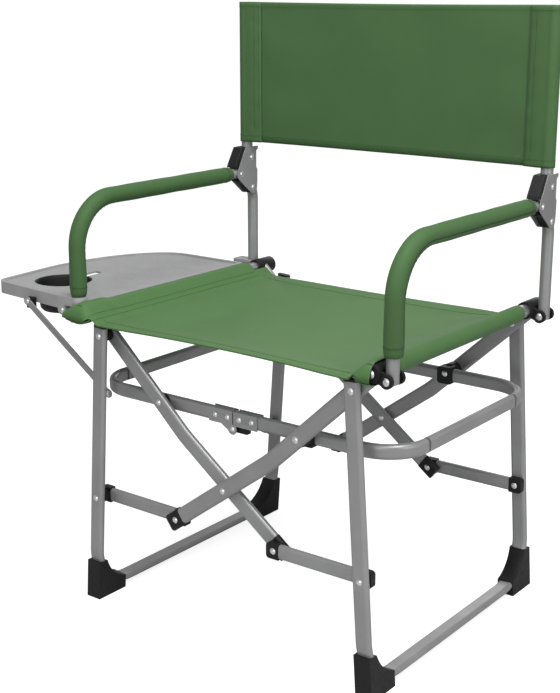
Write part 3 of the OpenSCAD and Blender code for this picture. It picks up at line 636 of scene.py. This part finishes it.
def pocket(side):
    """Sleeve of the back fabric round one pole, sewn shut at the stitch line."""
    path = pocket_path()
    Q = np.zeros((len(path), len(ZS), 3))
    Q[:, :, 0] = path[:, 0][:, None]
    Q[:, :, 1] = path[:, 1][:, None]
    Q[:, :, 2] = ZS[None, :]
    x, y, z = Q[:, :, 0], Q[:, :, 1], Q[:, :, 2]
    # ripples and hems push the cloth away from the pole
    dist = np.hypot(x + POLE_X, y - POLE_Y)
    ripple = abs(0.0005 * np.sin(z * 90 + x * 30) * smooth((dist - 0.013) / 0.01))
    y += np.where(y < POLE_Y, -ripple, ripple)
    for hem_z, up in BACK_HEMS:
        out = 0.0003 * smooth(up * (z - hem_z) / 0.002)
        y += np.where(y < POLE_Y, -out, out)
    U = np.zeros((*Q.shape[:2], 2))
    U[:, :, 0] = arc_length(path)[:, None]
    U[:, :, 1] = ZS[None, :]
    x *= -side
    name = "back_sleeve_" + side_name(side)
    sleeve = cloth(name, Q, U, "back_fabric", CLOTH)

    # two lines of stitching along the pole, and the hems round its front and outer side
    normals = grid_normals(Q)
    lines = []
    for i in (1, 3):
        pts, nrm = polyline(Q, normals, i=i, lo=1, hi=-1)
        if nrm[5][1] > 0:  # the normals point to the front
            nrm = -nrm
        lines.append((pts + nrm * SEAM_LIFT, nrm))
    pole = np.array([side * POLE_X, POLE_Y, 0])
    for j in HEM_ROWS:
        pts, nrm = polyline(Q, normals, j=j, lo=0, hi=30)
        away = np.sign(np.sum(nrm * (pts - pole) * np.array([1, 1, 0]), axis=1))
        nrm = nrm * np.where(away == 0, 1, away)[:, None]
        lines.append((pts + nrm * SEAM_LIFT, nrm))
    for o in (sleeve, stitches(name + "_stitching", lines)):
        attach(o, "back_" + side_name(side))


pocket(-1)
pocket(1)


for o in (back, back_thread):
    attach(o, "back_left")
    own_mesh(o)


# ---------------------------------------------------------------- armrest sleeves

BEND_R = 0.075  # middle line of the bend between the front post and the armrest
AROUND = 49  # points round a sleeve, the first and the last on the seam
SEAM_ANGLE = math.radians(-40)  # outer lower edge
PAD_LIFT = 0.0007  # thread above the middle of the cloth


def arm_sleeve(side):
    """Padded fabric tube along the front post, the bend and the armrest."""
    node = "arm_pad_" + side_name(side)
    lo, hi = corner(node)
    x0 = (lo[0] + hi[0]) / 2
    pad_r = (hi[0] - lo[0]) / 2
    y_post, y_end = lo[1] + pad_r, hi[1]
    z_low, z_arm = lo[2], hi[2] - pad_r
    bend_c = np.array([y_post + BEND_R, z_arm - BEND_R])
    path = [(y_post, z) for z in np.linspace(z_low, z_arm - BEND_R, 22)[:-1]]
    path += [on_circle(bend_c, BEND_R, a) for a in np.linspace(180, 90, 26)]
    path += [(y, z_arm) for y in np.linspace(y_post + BEND_R, y_end, 70)[1:]]
    path = np.array(path)
    tangent = np.gradient(path, axis=0)
    tangent /= np.linalg.norm(tangent, axis=1, keepdims=True)
    s = arc_length(path)
    quarter = BEND_R * math.pi / 4  # half the length of the bend
    mid_bend = z_arm - BEND_R - z_low + quarter
    Q = np.zeros((AROUND, len(path), 3))
    U = np.zeros((AROUND, len(path), 2))
    for j, (p, t) in enumerate(zip(path, tangent)):
        up = np.array([-t[1], t[0]])  # outside of the bend
        end = min(s[j], s[-1] - s[j])
        # narrower at the ends, slightly wavy along the sleeve
        r = pad_r - 0.0004 - 0.0018 * math.exp(-end / 0.003)
        r += 0.0003 * math.sin(s[j] * 70) * math.sin(s[j] * 23)
        in_bend = abs(s[j] - mid_bend) < quarter + 0.01
        for i in range(AROUND):
            a = SEAM_ANGLE + 2 * math.pi * i / (AROUND - 1)
            ca, sa = math.cos(a), math.sin(a)
            # a ridge on the seam with a groove on either side of it
            off = abs((a - SEAM_ANGLE + math.pi) % (2 * math.pi) - math.pi)
            ridge = 0.0013 * math.exp(-(off / 0.15) ** 2)
            rr = r + (ridge - 0.0010 * math.exp(-((off - 0.34) / 0.10) ** 2))
            if in_bend and sa < -0.2:
                rr += 0.0005 * math.sin(s[j] * 700) * (-sa - 0.2)  # puckers inside the bend
            Q[i, j] = (x0 + rr * ca * side, p[0] + rr * sa * up[0], p[1] + rr * sa * up[1])
            U[i, j] = (a * pad_r, s[j])
    sleeve = cloth("arm_sleeve_" + side_name(side), Q, U, "pad_fabric", PAD_CLOTH)
    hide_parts(node)

    # stitching on either side of the seam and round both ends
    normals = grid_normals(Q)
    middle = np.stack([np.full(len(path), x0), path[:, 0], path[:, 1]], axis=1)
    lines = []
    for i in (3, AROUND - 4):
        away = np.sign(np.sum(normals[i] * (Q[i] - middle), axis=1))[:, None]
        lines.append((Q[i] + normals[i] * away * PAD_LIFT, normals[i] * away))
    for j in (4, len(path) - 4):
        nrm = Q[:, j] - middle[j]
        nrm = nrm / np.linalg.norm(nrm, axis=1, keepdims=True)
        lines.append((Q[:, j] + nrm * PAD_LIFT, nrm))
    thread = stitches("arm_stitching_" + side_name(side), lines,
                      length=0.003, gap=0.0006, r=0.00042, material="seam_thread")
    for o in (sleeve, thread):
        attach(o, "arm_" + side_name(side))


arm_sleeve(-1)
arm_sleeve(1)


# ---------------------------------------------------------------- CAD pieces

# width of the rounded edge, by the start of a node's name
EDGES = {
    "feet": 0.0014, "leg_plugs": 0.0008, "link_caps": 0.0010, "scissor_caps": 0.0012,
    "seat_joints": 0.0007, "back_housing": 0.0010, "table_top": 0.0012, "table_brackets": 0.0010,
    "hoop_saddles": 0.0009, "brace_block": 0.0006, "back_plates": 0.0004, "hoop_plates": 0.0004,
    "table_brace": 0.0004, "hoop_tongues": 0.0005, "cup_holder": 0.0006,
}


def finish_node(name, ob):
    """The node's material, and rounded edges where EDGES names the piece."""
    ob.data.materials.clear()
    ob.data.materials.append(MAT[SLOTS[name]])
    width = next((w for k, w in EDGES.items() if name.startswith(k)), None)
    if width:
        weld = ob.modifiers.new("weld", "WELD")
        weld.merge_threshold = 1e-5
        b = ob.modifiers.new("edge", "BEVEL")
        b.limit_method = "ANGLE"
        b.angle_limit = math.radians(38)
        b.width = width
        b.segments = 2
        b.harden_normals = True


for name, ob in frame["nodes"].items():
    finish_node(name, ob)


# ---------------------------------------------------------------- stage, light, camera

def seen_or_lit(tree, seen, lit):
    """One value for the camera's own view of a surface and another for the light it throws."""
    ray = tree.nodes.new("ShaderNodeLightPath")
    pick = tree.nodes.new("ShaderNodeMapRange")
    tree.links.new(ray.outputs["Is Camera Ray"], pick.inputs["Value"])
    pick.inputs["To Min"].default_value = lit
    pick.inputs["To Max"].default_value = seen
    return pick.outputs[0]


def stage_plane(half=60.0, z=-0.0005):
    """Wide floor just below the feet, pure white to the camera and a plain grey to the light."""
    me = bpy.data.meshes.new("floor")
    corners = [(-half, -half, z), (half, -half, z), (half, half, z), (-half, half, z)]
    me.from_pydata(corners, [], [(0, 1, 2, 3)])
    ob = bpy.data.objects.new("floor", me)
    bpy.context.scene.collection.objects.link(ob)
    n = Nodes("floor_paint", (0.5, 0.5, 0.5), 0.9, spec=0.0)
    n.out("Roughness", n.ramp(n.noise(n.coords("Object"), scale=3, detail=2), 0, 1, 0.85, 0.95))
    n.b.inputs["Emission Color"].default_value = (1, 1, 1, 1)
    n.out("Emission Strength", seen_or_lit(n.t, seen=0.80, lit=0.0))
    me.materials.append(n.m)


def area(name, place, aim, size, power):
    d = bpy.data.lights.new(name, "AREA")
    d.shape = "RECTANGLE"
    d.size, d.size_y = size
    d.energy = power
    o = bpy.data.objects.new(name, d)
    o.location = place
    o.rotation_euler = (Vector(aim) - Vector(place)).to_track_quat("-Z", "Y").to_euler()
    bpy.context.scene.collection.objects.link(o)


stage_plane()
area("key_top", place=(0.6, -0.6, 2.2), aim=(0, 0, 0.45), size=(1.7, 1.5), power=52)
area("fill_camera", place=(0.9, -2.8, 0.9), aim=(0, 0, 0.3), size=(1.6, 1.2), power=15)
area("side_right", place=(2.6, -0.4, 1.0), aim=(0, 0, 0.4), size=(1.4, 1.6), power=14)
area("fill_rear", place=(-1.2, 2.8, 1.4), aim=(0, 0, 0.4), size=(1.6, 1.4), power=10)

world = bpy.data.worlds.new("studio")
bpy.context.scene.world = world
world.use_nodes = True
sky = world.node_tree.nodes["Background"]
sky.inputs["Color"].default_value = (1, 1, 1, 1)
world.node_tree.links.new(seen_or_lit(world.node_tree, seen=1.0, lit=0.42), sky.inputs["Strength"])

# the camera that was fitted to the photograph
AZIMUTH, ELEVATION = math.radians(37.309), math.radians(15.419)
cam_data = bpy.data.cameras.new("camera")
cam_data.sensor_width = 36
cam_data.lens = 68.2
cam = bpy.data.objects.new("camera", cam_data)
bpy.context.scene.collection.objects.link(cam)
cam.location = (1.1479, -1.5896, 0.9512)
flat = math.cos(ELEVATION)
to_camera = Vector((math.sin(AZIMUTH) * flat, -math.cos(AZIMUTH) * flat, math.sin(ELEVATION)))
cam.rotation_euler = (-to_camera).to_track_quat("-Z", "Y").to_euler()
bpy.context.scene.camera = cam
bpy.context.scene.view_settings.view_transform = "Standard"
bpy.context.scene.view_settings.look = "None"
